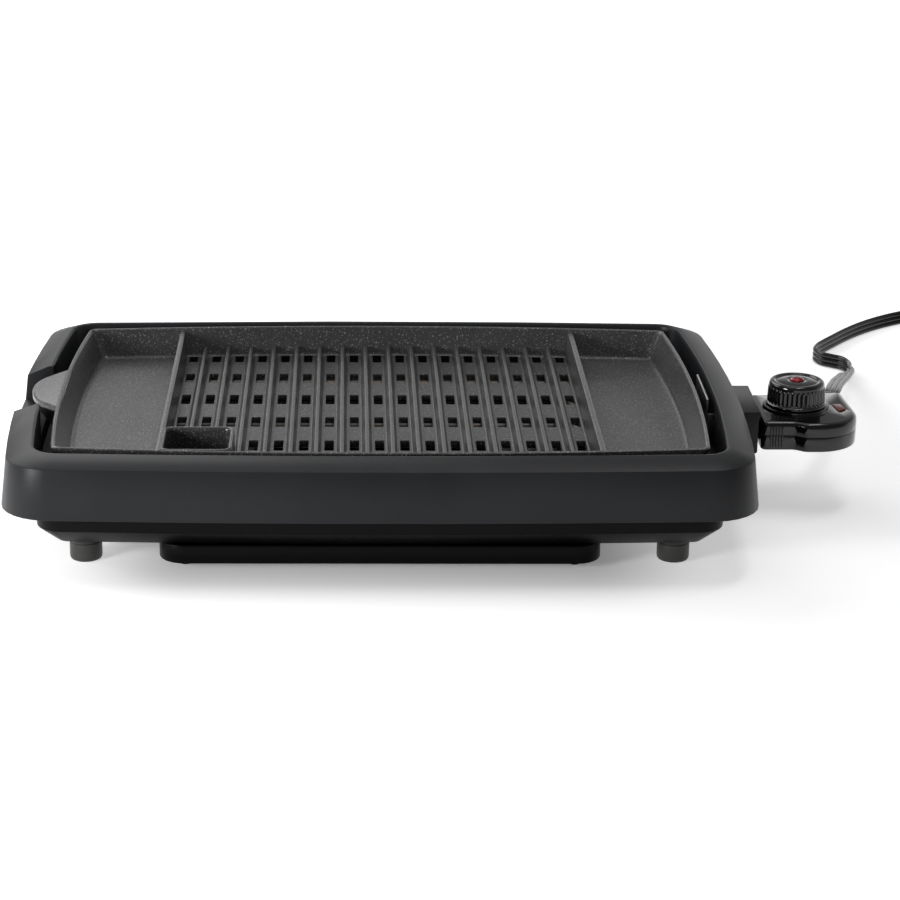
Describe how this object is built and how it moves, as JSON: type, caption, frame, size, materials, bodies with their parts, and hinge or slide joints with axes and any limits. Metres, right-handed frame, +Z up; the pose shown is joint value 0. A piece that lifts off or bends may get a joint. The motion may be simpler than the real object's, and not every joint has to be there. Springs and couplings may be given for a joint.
{
  "type": "electric tabletop grill",
  "caption": "Low electric indoor grill: framed housing on feet, lift-out ribbed plate with side pans, slide-out drip tray, plug-in thermostat control with knob and flat cord.",
  "frame": {"origin": "on the table, under the middle of the box round the grill and its control, cord left out", "axes": "+X towards the control, +Y towards the back, +Z up; the drip tray's face looks along -Y"},
  "size_m": [0.8248, 0.6302, 0.0877],
  "materials": {
    "housing_plastic": "fine-textured satin moulding",
    "base_plastic": "matt moulding",
    "foot_plastic": "matt",
    "plate_coating": "cast plate with speckled dark non-stick coating",
    "reflector_metal": "bright sheet",
    "element_metal": "oxidised tube",
    "bracket_metal": "plated sheet",
    "screw_metal": "plated",
    "ceramic": "unglazed ceramic",
    "contact_brass": "bright",
    "tray_plastic": "satin moulding",
    "control_plastic": "gloss moulding",
    "knob_plastic": "gloss moulding",
    "cap_red": "translucent gloss",
    "lens_red": "translucent gloss",
    "lamp_glass": "clear",
    "cord_rubber": "satin",
    "plug_rubber": "satin"
  },
  "bodies": {
    "base": {"housing": "housing_plastic", "base_pan": "base_plastic", "foot_front_left": "foot_plastic", "foot_front_right": "foot_plastic", "foot_rear_left": "foot_plastic", "foot_rear_right": "foot_plastic", "foot_screws": "screw_metal", "reflector": "reflector_metal", "reflector_screws": "screw_metal", "heating_element": "element_metal", "element_clips": "bracket_metal", "terminal_guard": "bracket_metal", "guard_rivets": "screw_metal", "terminal_insulators": "ceramic", "terminal_pins": "bracket_metal", "sensor_guide": "bracket_metal"},
    "plate": {"grill_plate": "plate_coating"},
    "tray": {"drip_tray": "tray_plastic"},
    "control": {"control_cover": "control_plastic", "control_bottom": "control_plastic", "contact_sockets": "contact_brass", "terminal_block": "ceramic", "sensor_rod": "bracket_metal", "thermostat_switch": "contact_brass", "pilot_lens": "lens_red", "pilot_lamp": "lamp_glass", "control_screws": "screw_metal", "strain_relief": "cord_rubber", "cord_run": "cord_rubber", "cord_coil": "cord_rubber", "plug_body": "plug_rubber", "plug_blades": "contact_brass", "plug_ground_pin": "contact_brass"},
    "dial": {"dial_spindle": "screw_metal", "knob": "knob_plastic", "knob_cap": "cap_red"}
  },
  "joints": [
    {"name": "plate_lift", "type": "slide", "parent": "base", "child": "plate", "axis": [0, 0, 1], "range_m": [0, 0.09]},
    {"name": "tray_slide", "type": "slide", "parent": "base", "child": "tray", "axis": [0, -1, 0], "range_m": [0, 0.26]},
    {"name": "control_unplug", "type": "slide", "parent": "base", "child": "control", "axis": [1, 0, 0], "range_m": [0, 0.075]},
    {"name": "knob_turn", "type": "hinge", "parent": "control", "child": "dial", "pos_m": [0.24547, 0.001, 0.07], "axis": [0, 0, 1], "range_deg": [-270, 0]}
  ]
}
